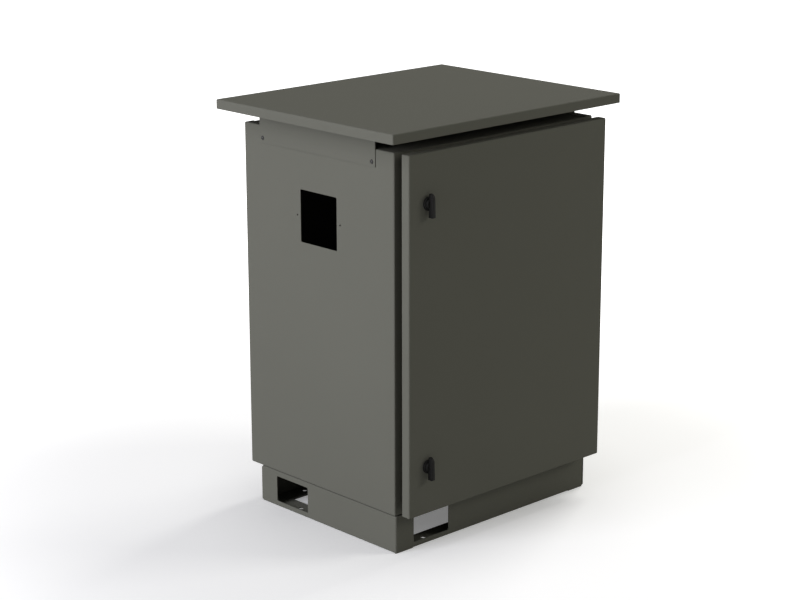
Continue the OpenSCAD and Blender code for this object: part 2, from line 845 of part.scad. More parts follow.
// A hinge knuckle round the axis, standing on the given height
module knuckle(low_z) {
    translate([hinge_x, hinge_y, low_z]) cylinder(r = knuckle_r, h = knuckle_len - knuckle_gap);
}

// The pin's bore through a whole hinge
module pin_bore(mid_z) {
    translate([hinge_x, hinge_y, mid_z - knuckle_len - overrun])
        cylinder(r = hinge_pin_r + running_fit, h = 2 * (knuckle_len + overrun));
}

// Puts its children at the studs of one body leaf, on the front frame with +Z into the cabinet
module body_stud_places(mid_z) {
    for (end = [-1, 1]) {
        translate([body_stud_x, front_y, mid_z + end * body_stud_share * knuckle_len]) rotate([-90, 0, 0])
            children();
    }
}

// A hinge's body leaf: a foot on the front frame with two studs, a folded web and the lower knuckle
module hinge_body_leaf(mid_z) {
    low_z = mid_z - knuckle_len;
    web = hinge_standoff - leaf_t - leaf_bend_r;
    difference() {
        union() {
            translate([body_leaf_x, front_y - leaf_t, low_z]) {
                linear_extrude(knuckle_len - knuckle_gap)
                    folded_2d([[body_leaf_foot, -1], [web, 0]], leaf_t, leaf_bend_r);
                cube([body_leaf_foot, leaf_t, 2 * knuckle_len]);
            }
            knuckle(low_z);
            body_stud_places(mid_z) cylinder(d = screw_d, h = sheet + screw_nut_h + stud_tail);
        }
        pin_bore(mid_z);
    }
}

module upper_hinge_body_leaf() {
    color(zinc) hinge_body_leaf(hinge_zs[0]);
}

module lower_hinge_body_leaf() {
    color(zinc) hinge_body_leaf(hinge_zs[1]);
}

// A hinge pin through both knuckles
module hinge_pin(mid_z) {
    translate([hinge_x, hinge_y, mid_z - knuckle_len])
        cylinder(r = hinge_pin_r, h = 2 * knuckle_len - knuckle_gap);
}

module upper_hinge_pin() {
    color(zinc) hinge_pin(hinge_zs[0]);
}

module lower_hinge_pin() {
    color(zinc) hinge_pin(hinge_zs[1]);
}

module hinge_body_nuts() {
    color(zinc) for (z = hinge_zs) {
        body_stud_places(z) translate([0, 0, sheet]) hex_nut(screw_d, screw_nut_flats, screw_nut_h);
    }
}

module earth_stud() {
    color(brass) translate([earth_x, earth_y, panel_top_z]) cylinder(d = bolt_d, h = earth_len);
}

module earth_nut() {
    color(brass) translate([earth_x, earth_y, panel_top_z]) hex_nut(bolt_d, bolt_flats, nut_h);
}

module door_panel() {
    color(paint) difference() {
        translate([0, door_front_y, (door_low_z + door_high_z) / 2]) rotate([-90, 0, 0])
            pan(door_w, door_h, door_depth, sheet, bend_r);
        for (z = latch_zs) {
            translate([latch_x, door_front_y, z]) rotate([90, 0, 0]) clearance_hole(barrel_d, 4 * sheet);
        }
    }
}

// Section of the door gasket: a round crown on an upright-sided base, standing on y = 0
module gasket_2d() {
    crown_r = gasket_w * crown_share;
    intersection() {
        translate([-gasket_w / 2, 0]) square([gasket_w, gasket_t + overrun]);
        union() {
            translate([0, gasket_t - crown_r]) circle(crown_r);
            translate([-gasket_w / 2, 0]) square([gasket_w, gasket_t * base_share]);
        }
    }
}

// The gasket round the door's inner face, under the sealing lip, turning each corner in a bend
module door_gasket() {
    corner_r = gasket_w * gasket_corner_share;
    run_x = gasket_half_w - gasket_w / 2 - corner_r;
    run_z = (gasket_high_z - gasket_low_z - gasket_w) / 2 - corner_r;
    color(rubber) translate([0, door_skin_y, (gasket_low_z + gasket_high_z) / 2]) rotate([-90, 0, 0])
        for (edge = [0 : 3]) {
            half_run = edge % 2 == 0 ? run_z : run_x;
            reach = edge % 2 == 0 ? run_x : run_z;
            rotate(90 * edge) translate([reach, half_run, 0]) {
                translate([corner_r, 0, 0]) rotate([90, 0, 0]) linear_extrude(2 * half_run) gasket_2d();
                rotate_extrude(angle = 90) translate([corner_r, 0]) gasket_2d();
            }
        }
}

// A stiffener inside the door: a folded hat section on the skin
module door_stiffener(x) {
    low_z = gasket_low_z + gasket_w + stiffener_gap;
    high_z = gasket_high_z - gasket_w - stiffener_gap;
    half_w = stiffener_w / 2 + stiffener_foot;
    foot = stiffener_foot - bend_r;
    web = stiffener_depth - 2 * bend_out;
    crown = stiffener_w - 2 * bend_out;
    translate([x - half_w, door_skin_y, low_z]) linear_extrude(high_z - low_z)
        folded_2d([[foot, 1], [web, -1], [crown, -1], [web, 1], [foot, 0]], sheet, bend_r);
}

module door_stiffener_left() {
    color(paint) door_stiffener(-stiffener_x);
}

module door_stiffener_right() {
    color(paint) door_stiffener(stiffener_x);
}

// A hinge's door leaf: a foot on the skin, a web along the door's edge and the upper knuckle
module hinge_door_leaf(mid_z) {
    web = hinge_y - door_skin_y - leaf_t - leaf_bend_r;
    difference() {
        union() {
            translate([door_leaf_x, door_skin_y, mid_z]) linear_extrude(knuckle_len - knuckle_gap)
                folded_2d([[door_leaf_foot, 1], [web, 0]], leaf_t, leaf_bend_r);
            knuckle(mid_z);
        }
        pin_bore(mid_z);
        door_stud_places(mid_z) clearance_hole(screw_d, 4 * leaf_t);
    }
}

// Puts its children at the studs of one door leaf, on the skin with +Z into the cabinet
module door_stud_places(mid_z) {
    for (share = door_stud_shares) {
        translate([door_stud_x, door_skin_y, mid_z + share * knuckle_len]) rotate([-90, 0, 0]) children();
    }
}

module upper_hinge_door_leaf() {
    color(zinc) hinge_door_leaf(hinge_zs[0]);
}

module lower_hinge_door_leaf() {
    color(zinc) hinge_door_leaf(hinge_zs[1]);
}

module door_hinge_studs() {
    color(zinc) for (z = hinge_zs) {
        door_stud_places(z) cylinder(d = screw_d, h = leaf_t + screw_nut_h + stud_tail);
    }
}

module door_hinge_nuts() {
    color(zinc) for (z = hinge_zs) {
        door_stud_places(z) translate([0, 0, leaf_t]) hex_nut(screw_d, screw_nut_flats, screw_nut_h);
    }
}

// Puts its children on a latch's axis, with z = 0 on the door's outer face and +Z outwards
module at_latch(z) {
    translate([latch_x, door_front_y, z]) rotate([90, 0, 0]) children();
}

// A latch's barrel: the rosette on the door's face and the bored barrel through its skin
module latch_barrel(z) {
    edge_r = rosette_t / 2;
    barrel_low = -sheet - barrel_len;
    at_latch(z) rotate_extrude() difference() {
        union() {
            translate([0, latch_seal_t]) square([rosette_d / 2, rosette_t - edge_r]);
            translate([0, latch_seal_t]) square([rosette_d / 2 - edge_r, rosette_t]);
            translate([rosette_d / 2 - edge_r, latch_seal_t + rosette_t - edge_r]) intersection() {
                circle(edge_r);
                square(edge_r);
            }
            translate([0, barrel_low]) square([barrel_d / 2, latch_seal_t - barrel_low]);
        }
        translate([0, barrel_low - overrun])
            square([spindle_d / 2 + running_fit, rosette_t + latch_seal_t - barrel_low + 2 * overrun]);
    }
}

module upper_latch_barrel() {
    color(black) latch_barrel(latch_zs[0]);
}

module lower_latch_barrel() {
    color(black) latch_barrel(latch_zs[1]);
}

// The seal between a rosette and the door's face
module latch_seal(z) {
    at_latch(z) difference() {
        cylinder(d = rosette_d - latch_seal_t, h = latch_seal_t);
        translate([0, 0, -overrun])
            cylinder(d = barrel_d + 2 * running_fit, h = latch_seal_t + 2 * overrun);
    }
}

module upper_latch_seal() {
    color(rubber) latch_seal(latch_zs[0]);
}

module lower_latch_seal() {
    color(rubber) latch_seal(latch_zs[1]);
}

// The nut that holds a barrel from inside the door
module latch_nut(z) {
    at_latch(z) translate([0, 0, -sheet - latch_nut_h]) hex_nut(barrel_d, latch_nut_flats, latch_nut_h);
}

module upper_latch_nut() {
    color(zinc) latch_nut(latch_zs[0]);
}

module lower_latch_nut() {
    color(zinc) latch_nut(latch_zs[1]);
}

// The wing seen from the front: round above and wider below
module wing_front_2d() {
    top_r = wing_top_w / 2;
    polygon([[-wing_low_w / 2, -wing_len / 2], [wing_low_w / 2, -wing_len / 2],
             [top_r, wing_len / 2 - top_r], [-top_r, wing_len / 2 - top_r]]);
    translate([0, wing_len / 2 - top_r]) intersection() {
        circle(top_r);
        translate([-top_r, 0]) square([wing_top_w, top_r]);
    }
}

// The wing seen from the side: square at its lower end, with a round shoulder above
module wing_side_2d() {
    shoulder_r = wing_h * shoulder_share;
    translate([-wing_len / 2, 0]) square([wing_len - shoulder_r, wing_h]);
    translate([wing_len / 2 - shoulder_r, 0]) square([shoulder_r, wing_h - shoulder_r]);
    translate([wing_len / 2 - shoulder_r, wing_h - shoulder_r]) intersection() {
        circle(shoulder_r);
        square(shoulder_r);
    }
}

// A wing knob: hub, wing and the spindle that runs through the barrel to the cam's square
module wing_knob(z) {
    at_latch(z) difference() {
        union() {
            translate([0, 0, knob_seat]) {
                cylinder(d1 = hub_d, d2 = hub_d * hub_top_share, h = hub_h);
                translate([0, -wing_drop, 0]) intersection() {
                    linear_extrude(wing_h) wing_front_2d();
                    translate([-hub_d / 2, 0, 0]) rotate([90, 0, 90]) linear_extrude(hub_d) wing_side_2d();
                }
            }
            translate([0, 0, -cam_front]) cylinder(d = spindle_d, h = cam_front + knob_seat);
            translate([-cam_square / 2, -cam_square / 2, -cam_back]) cube([cam_square, cam_square, cam_t]);
        }
        translate([0, 0, -cam_back - overrun])
            cylinder(d = screw_d + 2 * running_fit, h = cam_screw_len + 2 * overrun);
    }
}

module upper_wing_knob() {
    color(black) wing_knob(latch_zs[0]);
}

module lower_wing_knob() {
    color(black) wing_knob(latch_zs[1]);
}

// A latch's cam, upright when the door is released
module latch_cam(z) {
    square_side = cam_square + 2 * running_fit;
    at_latch(z) translate([0, 0, -cam_back]) difference() {
        linear_extrude(cam_t) translate([0, (cam_reach - cam_w / 2) / 2])
            rounded_2d(cam_w, cam_reach + cam_w / 2, cam_w / 4);
        translate([-square_side / 2, -square_side / 2, -overrun])
            cube([square_side, square_side, cam_t + 2 * overrun]);
    }
}

module upper_latch_cam() {
    color(zinc) latch_cam(latch_zs[0]);
}

module lower_latch_cam() {
    color(zinc) latch_cam(latch_zs[1]);
}

// The screw that holds a cam on its spindle
module cam_screw(z) {
    at_latch(z) translate([0, 0, -cam_back]) mirror([0, 0, 1])
        button_screw(screw_d, cam_screw_head_d, screw_head_h, cam_screw_len);
}

module upper_cam_screw() {
    color(zinc) cam_screw(latch_zs[0]);
}

module lower_cam_screw() {
    color(zinc) cam_screw(latch_zs[1]);
}

side_panel_left();
side_panel_right();
back_panel();
top_panel();
bottom_panel();
gland_plate();
gland_plate_gasket();
gland_plate_screws();
rack_rail_front_left();
rack_rail_front_right();
rack_rail_rear_left();
rack_rail_rear_right();
rail_support_upper_left();
rail_support_upper_right();
rail_support_lower_left();
rail_support_lower_right();
rail_bolts();
rail_nuts();
roof_tray();
roof_bracket_left();
roof_bracket_right();
roof_bracket_screws();
roof_bracket_nuts();
roof_studs();
roof_stud_nuts();
plinth_half_front_left();
plinth_half_rear_right();
plinth_corner_studs();
plinth_corner_nuts();
plinth_body_bolts();
plinth_washers();
plinth_body_nuts();
upper_hinge_body_leaf();
lower_hinge_body_leaf();
upper_hinge_pin();
lower_hinge_pin();
hinge_body_nuts();
earth_stud();
earth_nut();
door_panel();
door_gasket();
door_stiffener_left();
door_stiffener_right();
upper_hinge_door_leaf();
lower_hinge_door_leaf();
door_hinge_studs();
door_hinge_nuts();
upper_latch_barrel();
lower_latch_barrel();
upper_latch_seal();
lower_latch_seal();
upper_latch_nut();
lower_latch_nut();
upper_wing_knob();
lower_wing_knob();
upper_latch_cam();
lower_latch_cam();
upper_cam_screw();
lower_cam_screw();
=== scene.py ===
import json
import math

import bmesh
import bpy
from mathutils import Matrix, Vector


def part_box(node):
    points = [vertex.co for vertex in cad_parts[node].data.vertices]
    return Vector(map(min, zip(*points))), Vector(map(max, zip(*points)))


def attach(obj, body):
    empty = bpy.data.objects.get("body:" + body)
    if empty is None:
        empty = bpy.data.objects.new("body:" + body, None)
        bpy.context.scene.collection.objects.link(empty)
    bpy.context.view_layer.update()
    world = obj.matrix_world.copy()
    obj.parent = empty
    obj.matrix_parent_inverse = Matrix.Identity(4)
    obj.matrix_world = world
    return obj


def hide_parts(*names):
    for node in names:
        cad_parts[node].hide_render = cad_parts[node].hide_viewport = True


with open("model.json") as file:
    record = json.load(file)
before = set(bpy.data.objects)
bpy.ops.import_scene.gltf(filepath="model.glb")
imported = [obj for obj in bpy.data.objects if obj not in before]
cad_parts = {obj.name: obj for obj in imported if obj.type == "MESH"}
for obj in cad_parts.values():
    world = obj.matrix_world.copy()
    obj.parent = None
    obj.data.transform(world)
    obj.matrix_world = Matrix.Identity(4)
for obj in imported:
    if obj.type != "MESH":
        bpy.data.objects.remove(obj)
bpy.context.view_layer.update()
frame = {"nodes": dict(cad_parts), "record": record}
nodes = frame["nodes"]
slotOf = {part["node"]: part["material_slot"] for part in frame["record"]["subparts"]}
scene = bpy.context.scene
scene.view_settings.view_transform = "Standard"
print("frame:", len(nodes), "nodes")


# node helpers

def addNode(tree, kind, **values):
    # each value goes on the node itself, or else on its socket of that name
    node = tree.nodes.new(kind)
    for key, value in values.items():
        if hasattr(node, key):
            setattr(node, key, value)
        else:
            node.inputs[key.replace("_", " ")].default_value = value
    return node


def newGroup(name, inputs, outputs):
    group = bpy.data.node_groups.new(name, "ShaderNodeTree")
    for label, value in inputs.items():
        socket = group.interface.new_socket(label, in_out="INPUT", socket_type="NodeSocketFloat")
        socket.default_value = value
    for label in outputs:
        group.interface.new_socket(label, in_out="OUTPUT", socket_type="NodeSocketFloat")
    return group, group.nodes.new("NodeGroupInput"), group.nodes.new("NodeGroupOutput")


def useGroup(tree, group, **values):
    node = tree.nodes.new("ShaderNodeGroup")
    node.node_tree = group
    for key, value in values.items():
        node.inputs[key].default_value = value
    return node.outputs[0]


def newMaterial(name, settings):
    material = bpy.data.materials.new(name)
    material.use_nodes = True
    tree = material.node_tree
    tree.nodes.clear()
    output = tree.nodes.new("ShaderNodeOutputMaterial")
    shader = tree.nodes.new("ShaderNodeBsdfPrincipled")
    tree.links.new(shader.outputs["BSDF"], output.inputs["Surface"])
    for label, value in settings.items():
        shader.inputs[label].default_value = value
    return material, tree, shader


def mathNode(tree, operation, a, b):
    node = addNode(tree, "ShaderNodeMath", operation=operation)
    for socket, value in zip(node.inputs, (a, b)):
        if isinstance(value, (int, float)):
            socket.default_value = value
        else:
            tree.links.new(value, socket)
    return node.outputs[0]


def mixColour(tree, factor, colourA, colourB):
    node = addNode(tree, "ShaderNodeMix", data_type="RGBA")
    tree.links.new(factor, node.inputs[0])
    for socket, value in ((node.inputs[6], colourA), (node.inputs[7], colourB)):  # its two colour sockets
        if isinstance(value, tuple):
            socket.default_value = (*value, 1)
        else:
            tree.links.new(value, socket)
    return node.outputs[2]


def objectCoords(tree):
    return tree.nodes.new("ShaderNodeTexCoord").outputs["Object"]


def setColour(tree, shader, factor, colourA, colourB):
    tree.links.new(mixColour(tree, factor, colourA, colourB), shader.inputs["Base Color"])


def setRoughness(tree, shader, value, span):
    node = addNode(tree, "ShaderNodeMapRange", To_Min=span[0], To_Max=span[1])
    tree.links.new(value, node.inputs["Value"])
    tree.links.new(node.outputs["Result"], shader.inputs["Roughness"])


def addBump(tree, shader, height, strength, depth):
    bump = addNode(tree, "ShaderNodeBump", Strength=strength, Distance=depth)
    tree.links.new(height, bump.inputs["Height"])
    tree.links.new(bump.outputs["Normal"], shader.inputs["Normal"])


# shared surface effects

peelNoise = {"scale": 400.0, "fineShare": 0.35, "fineTimes": 2.9, "broadDetail": 1.0, "fineDetail": 2.0}


def makeOrangePeel():
    inputs = {"Scale": peelNoise["scale"], "Fine": peelNoise["fineShare"]}
    group, gIn, gOut = newGroup("orangePeel", inputs, ["Height"])
    coords = objectCoords(group)
    broad = addNode(group, "ShaderNodeTexNoise", Detail=peelNoise["broadDetail"])
    fine = addNode(group, "ShaderNodeTexNoise", Detail=peelNoise["fineDetail"])
    fineScale = mathNode(group, "MULTIPLY", gIn.outputs["Scale"], peelNoise["fineTimes"])
    for noise, scale in ((broad, gIn.outputs["Scale"]), (fine, fineScale)):
        group.links.new(coords, noise.inputs["Vector"])
        group.links.new(scale, noise.inputs["Scale"])
    weighted = mathNode(group, "MULTIPLY", fine.outputs["Fac"], gIn.outputs["Fine"])
    group.links.new(mathNode(group, "ADD", broad.outputs["Fac"], weighted), gOut.inputs["Height"])
    return group


cloudNoise = {"scale": 4.0, "detail": 3.0, "roughness": 0.55}


def makeCoatCloud():
    group, gIn, gOut = newGroup("coatCloud", {"Scale": cloudNoise["scale"]}, ["Value"])
    noise = addNode(group, "ShaderNodeTexNoise", Detail=cloudNoise["detail"],
                    Roughness=cloudNoise["roughness"])
    group.links.new(objectCoords(group), noise.inputs["Vector"])
    group.links.new(gIn.outputs["Scale"], noise.inputs["Scale"])
    group.links.new(noise.outputs["Fac"], gOut.inputs["Value"])
    return group


rubMask = {"radius": 0.0012, "breakup": 120.0, "samples": 6, "detail": 4.0, "gain": 5.0}


def makeEdgeRub():
    # where the surface turns sharply its coat is thin and a little rubbed
    inputs = {"Radius": rubMask["radius"], "Breakup": rubMask["breakup"]}
    group, gIn, gOut = newGroup("edgeRub", inputs, ["Mask"])
    bevel = addNode(group, "ShaderNodeBevel", samples=rubMask["samples"])
    geometry = group.nodes.new("ShaderNodeNewGeometry")
    turn = addNode(group, "ShaderNodeVectorMath", operation="DOT_PRODUCT")
    noise = addNode(group, "ShaderNodeTexNoise", Detail=rubMask["detail"])
    group.links.new(gIn.outputs["Radius"], bevel.inputs["Radius"])
    group.links.new(gIn.outputs["Breakup"], noise.inputs["Scale"])
    group.links.new(objectCoords(group), noise.inputs["Vector"])
    group.links.new(bevel.outputs["Normal"], turn.inputs[0])
    group.links.new(geometry.outputs["Normal"], turn.inputs[1])
    bent = mathNode(group, "SUBTRACT", 1.0, turn.outputs["Value"])
    strong = mathNode(group, "MULTIPLY", bent, rubMask["gain"])
    broken = mathNode(group, "MULTIPLY", strong, noise.outputs["Fac"])
    clamp = addNode(group, "ShaderNodeClamp")
    group.links.new(broken, clamp.inputs["Value"])
    group.links.new(clamp.outputs["Result"], gOut.inputs["Mask"])
    return group


dustMask = {"scale": 14.0, "amount": 0.1, "detail": 5.0, "roughness": 0.62, "levelFrom": 0.75}


def makeSettledDust():
    # only faces that look up hold dust
    inputs = {"Scale": dustMask["scale"], "Amount": dustMask["amount"]}
    group, gIn, gOut = newGroup("settledDust", inputs, ["Mask"])
    geometry = group.nodes.new("ShaderNodeNewGeometry")
    split = group.nodes.new("ShaderNodeSeparateXYZ")
    noise = addNode(group, "ShaderNodeTexNoise", Detail=dustMask["detail"], Roughness=dustMask["roughness"])
    level = addNode(group, "ShaderNodeMapRange", From_Min=dustMask["levelFrom"])
    group.links.new(geometry.outputs["Normal"], split.inputs["Vector"])
    group.links.new(objectCoords(group), noise.inputs["Vector"])
    group.links.new(gIn.outputs["Scale"], noise.inputs["Scale"])
    group.links.new(split.outputs["Z"], level.inputs["Value"])
    patchy = mathNode(group, "MULTIPLY", level.outputs["Result"], noise.outputs["Fac"])
    group.links.new(mathNode(group, "MULTIPLY", patchy, gIn.outputs["Amount"]), gOut.inputs["Mask"])
    return group


brushNoise = {"scale": 60.0, "stretch": 40.0, "detail": 3.0}


def makeBrushed():
    inputs = {"Scale": brushNoise["scale"], "Stretch": brushNoise["stretch"]}
    group, gIn, gOut = newGroup("brushed", inputs, ["Value"])
    stretch = addNode(group, "ShaderNodeCombineXYZ", X=1.0, Y=1.0)
    scaled = addNode(group, "ShaderNodeVectorMath", operation="DIVIDE")
    noise = addNode(group, "ShaderNodeTexNoise", Detail=brushNoise["detail"])
    group.links.new(gIn.outputs["Stretch"], stretch.inputs["Z"])
    group.links.new(objectCoords(group), scaled.inputs[0])
    group.links.new(stretch.outputs["Vector"], scaled.inputs[1])
    group.links.new(scaled.outputs["Vector"], noise.inputs["Vector"])
    group.links.new(gIn.outputs["Scale"], noise.inputs["Scale"])
    group.links.new(noise.outputs["Fac"], gOut.inputs["Value"])
    return group


orangePeel = makeOrangePeel()
coatCloud = makeCoatCloud()
edgeRub = makeEdgeRub()
settledDust = makeSettledDust()
brushed = makeBrushed()


# finishes

powder = {
    "colour": (0.092, 0.092, 0.075),
    "deep": (0.086, 0.086, 0.070),
    "rubbed": (0.15, 0.15, 0.13),
    "dust": (0.2, 0.19, 0.17),
    "specular": 0.02,
    "roughness": (0.82, 0.92),
    "cloudScale": 3.2,
    "rubRadius": 0.0009,
    "rubShare": 0.35,
    "dustScale": 11.0,
    "dustAmount": 0.02,
    "peelScale": 420.0,
    "peelStrength": 0.35,
    "peelDepth": 0.00012,
}


def makePowderCoat():
    material, tree, shader = newMaterial("powderCoat", {"Specular IOR Level": powder["specular"]})
    cloud = useGroup(tree, coatCloud, Scale=powder["cloudScale"])
    rub = useGroup(tree, edgeRub, Radius=powder["rubRadius"])
    dust = useGroup(tree, settledDust, Scale=powder["dustScale"], Amount=powder["dustAmount"])
    peel = useGroup(tree, orangePeel, Scale=powder["peelScale"])
    coat = mixColour(tree, cloud, powder["deep"], powder["colour"])
    wear = mathNode(tree, "MULTIPLY", rub, powder["rubShare"])
    worn = mixColour(tree, wear, coat, powder["rubbed"])
    setColour(tree, shader, dust, worn, powder["dust"])
    setRoughness(tree, shader, cloud, powder["roughness"])
    addBump(tree, shader, peel, powder["peelStrength"], powder["peelDepth"])
    return material


zinc = {
    "bright": (0.5, 0.505, 0.515),
    "dull": (0.36, 0.366, 0.38),
    "roughness": (0.28, 0.46),
    "grainScale": 420.0,
    "grainStretch": 30.0,
    "grainStrength": 0.12,
    "grainDepth": 0.00005,
    "cloudScale": 38.0,
}


def makeZincPlate():
    material, tree, shader = newMaterial("zincPlate", {"Metallic": 1.0})
    grain = useGroup(tree, brushed, Scale=zinc["grainScale"], Stretch=zinc["grainStretch"])
    cloud = useGroup(tree, coatCloud, Scale=zinc["cloudScale"])
    tone = mathNode(tree, "MULTIPLY", mathNode(tree, "ADD", grain, cloud), 0.5)  # their mean
    setColour(tree, shader, tone, zinc["dull"], zinc["bright"])
    setRoughness(tree, shader, cloud, zinc["roughness"])
    addBump(tree, shader, grain, zinc["grainStrength"], zinc["grainDepth"])
    return material


nylon = {
    "colour": (0.0052, 0.0051, 0.0044),
    "worn": (0.0112, 0.011, 0.0098),
    "specular": 0.09,
    "roughness": (0.55, 0.66),
    "rubRadius": 0.0008,
    "rubBreakup": 400.0,
    "rubShare": 0.4,
    "cloudScale": 60.0,
    "peelScale": 2200.0,
    "peelStrength": 0.3,
    "peelDepth": 0.00006,
}


def makeBlackNylon():
    material, tree, shader = newMaterial("blackNylon", {"Specular IOR Level": nylon["specular"]})
    rub = useGroup(tree, edgeRub, Radius=nylon["rubRadius"], Breakup=nylon["rubBreakup"])
    cloud = useGroup(tree, coatCloud, Scale=nylon["cloudScale"])
    peel = useGroup(tree, orangePeel, Scale=nylon["peelScale"])
    wear = mathNode(tree, "MULTIPLY", rub, nylon["rubShare"])
    setColour(tree, shader, wear, nylon["colour"], nylon["worn"])
    setRoughness(tree, shader, cloud, nylon["roughness"])
    addBump(tree, shader, peel, nylon["peelStrength"], nylon["peelDepth"])
    return material


oxide = {
    "colour": (0.017, 0.0168, 0.0155),
    "worn": (0.085, 0.084, 0.08),
    "metallic": 0.6,
    "roughness": (0.35, 0.5),
    "rubRadius": 0.0004,
    "rubBreakup": 700.0,
    "rubShare": 0.5,
    "cloudScale": 150.0,
}


def makeBlackOxide():
    material, tree, shader = newMaterial("blackOxide", {"Metallic": oxide["metallic"]})
    rub = useGroup(tree, edgeRub, Radius=oxide["rubRadius"], Breakup=oxide["rubBreakup"])
    cloud = useGroup(tree, coatCloud, Scale=oxide["cloudScale"])
    wear = mathNode(tree, "MULTIPLY", rub, oxide["rubShare"])
    setColour(tree, shader, wear, oxide["colour"], oxide["worn"])
    setRoughness(tree, shader, cloud, oxide["roughness"])
    return material


foam = {
    "colour": (0.016, 0.016, 0.017),
    "chalky": (0.045, 0.045, 0.044),
    "specular": 0.2,
    "roughness": (0.78, 0.95),
    "cloudScale": 90.0,
    "cellScale": 1500.0,
    "cellStrength": 0.4,
    "cellDepth": 0.0002,
}


def makeFoamRubber():
    material, tree, shader = newMaterial("foamRubber", {"Specular IOR Level": foam["specular"]})
    cloud = useGroup(tree, coatCloud, Scale=foam["cloudScale"])
    cells = addNode(tree, "ShaderNodeTexVoronoi", Scale=foam["cellScale"])
    tree.links.new(objectCoords(tree), cells.inputs["Vector"])
    setColour(tree, shader, cloud, foam["colour"], foam["chalky"])
    setRoughness(tree, shader, cloud, foam["roughness"])
    addBump(tree, shader, cells.outputs["Distance"], foam["cellStrength"], foam["cellDepth"])
    return material


brass = {
    "bright": (0.62, 0.44, 0.16),
    "dull": (0.4, 0.27, 0.09),
    "roughness": (0.25, 0.42),
    "cloudScale": 160.0,
}


def makeBrass():
    material, tree, shader = newMaterial("plainBrass", {"Metallic": 1.0})
    cloud = useGroup(tree, coatCloud, Scale=brass["cloudScale"])
    setColour(tree, shader, cloud, brass["dull"], brass["bright"])
    setRoughness(tree, shader, cloud, brass["roughness"])
    return material


finishes = {
    "paint": makePowderCoat(),
    "zinc": makeZincPlate(),
    "black_plastic": makeBlackNylon(),
    "black_screw": makeBlackOxide(),
    "rubber": makeFoamRubber(),
    "brass": makeBrass(),
}
for name, node in nodes.items():
    node.material_slots[0].material = finishes[slotOf[name]]
print("finishes:", len(finishes))


# new pieces

samePoint = 1e-5  # a sweep's last ring closes on its first within this


def addPiece(name, mesh, body, slot, *replaced):
    bmesh.ops.remove_doubles(mesh, verts=mesh.verts, dist=samePoint)
    bmesh.ops.recalc_face_normals(mesh, faces=mesh.faces)
    data = bpy.data.meshes.new(name)
    mesh.to_mesh(data)
    mesh.free()
    piece = bpy.data.objects.new(name, data)
    scene.collection.objects.link(piece)
    data.materials.append(finishes[slot])
    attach(piece, body)
    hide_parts(*replaced)
    return piece


def smoothByAngle(piece, degrees):
    piece.data.polygons.foreach_set("use_smooth", [True] * len(piece.data.polygons))
    piece.data.set_sharp_from_angle(angle=math.radians(degrees))


def ends(edges):
    return list(dict.fromkeys(vert for edge in edges for vert in edge.verts))


def drawOut(mesh, edges, step):
    grown = bmesh.ops.extrude_edge_only(mesh, edges=edges)["geom"]
    verts = [item for item in grown if isinstance(item, bmesh.types.BMVert)]
    bmesh.ops.translate(mesh, verts=verts, vec=step)
    around = dict.fromkeys(edge for vert in verts for edge in vert.link_edges)
    return [edge for edge in around if all(vert in verts for vert in edge.verts)]


doorSeal = {
    "width": 0.016,
    "height": 0.010,
    "fullness": 0.7,  # below 1 squares the rounded back
    "around": 32,
    "cornerRadius": 0.014,
    "cornerSteps": 10,
    "markDepth": 0.0009,  # where the sealing lip has pressed
    "markShare": 0.1,
    "smoothAngle": 50,
}


def addSealRing(mesh, low):
    # the section, drawn once where the sweep starts: flat on the door, rounded towards the body
    half = doorSeal["width"] / 2
    bmesh.ops.create_circle(mesh, segments=doorSeal["around"], radius=1.0)
    for vert in mesh.verts:
        across, rise = vert.co.x, max(vert.co.y, 0.0)
        height = doorSeal["height"] * rise ** doorSeal["fullness"]
        if abs(across) < doorSeal["markShare"] and rise > 0.0:
            height -= doorSeal["markDepth"]
        vert.co = (0.0, low.y + height, low.z + half - half * across)
    return list(mesh.edges)


def makeDoorSeal():
    low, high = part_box("door_gasket")
    margin = doorSeal["width"] / 2 + doorSeal["cornerRadius"]
    spanX = high.x - margin
    spanZ = (high.z - low.z) / 2 - margin
    midZ = (high.z + low.z) / 2
    mesh = bmesh.new()
    edges = addSealRing(mesh, low)
    heading = Vector((1, 0, 0))
    quarter = Matrix.Rotation(math.radians(-90), 3, "Y")
    corners = [(spanX, -spanZ), (spanX, spanZ), (-spanX, spanZ), (-spanX, -spanZ)]
    for (x, z), length in zip(corners, (spanX, 2 * spanZ, 2 * spanX, 2 * spanZ)):
        edges = drawOut(mesh, edges, heading * length)
        turned = bmesh.ops.spin(mesh, geom=ends(edges) + edges, cent=(x, low.y, midZ + z), axis=(0, -1, 0),
                                angle=math.radians(90), steps=doorSeal["cornerSteps"])["geom_last"]
        edges = [item for item in turned if isinstance(item, bmesh.types.BMEdge)]
        heading = quarter @ heading
    drawOut(mesh, edges, heading * spanX)
    piece = addPiece("doorSeal", mesh, "door", "rubber", "door_gasket")
    smoothByAngle(piece, doorSeal["smoothAngle"])


wingKnob = {
    "seat": 0.0053,  # above the door's face
    "length": 0.050,
    "topWidth": 0.007,
    "lowWidth": 0.010,
    "height": 0.012,
    "drop": 0.0033,  # the wing reaches further down than up
    "shoulder": 0.0098,
    "shoulderSteps": 9,
    "edge": 0.0011,
    "edgeSteps": 3,
    "edgeAngle": 40,
    "hubRadii": (0.011, 0.0092),
    "hubHeight": 0.0035,
    "hubEdge": 0.0009,
    "hubAround": 64,
    "spindleRadius": 0.005,
    "spindleDepth": 0.0445,
    "spindleAround": 48,
    "squareSide": 0.007,
    "squareDepth": 0.003,
    "smoothAngle": 38,
}


def bevelEdges(mesh, edges, offset, steps):
    bmesh.ops.bevel(mesh, geom=edges, offset=offset, offset_type="OFFSET", affect="EDGES",
                    segments=steps, profile=0.5, material=-1)


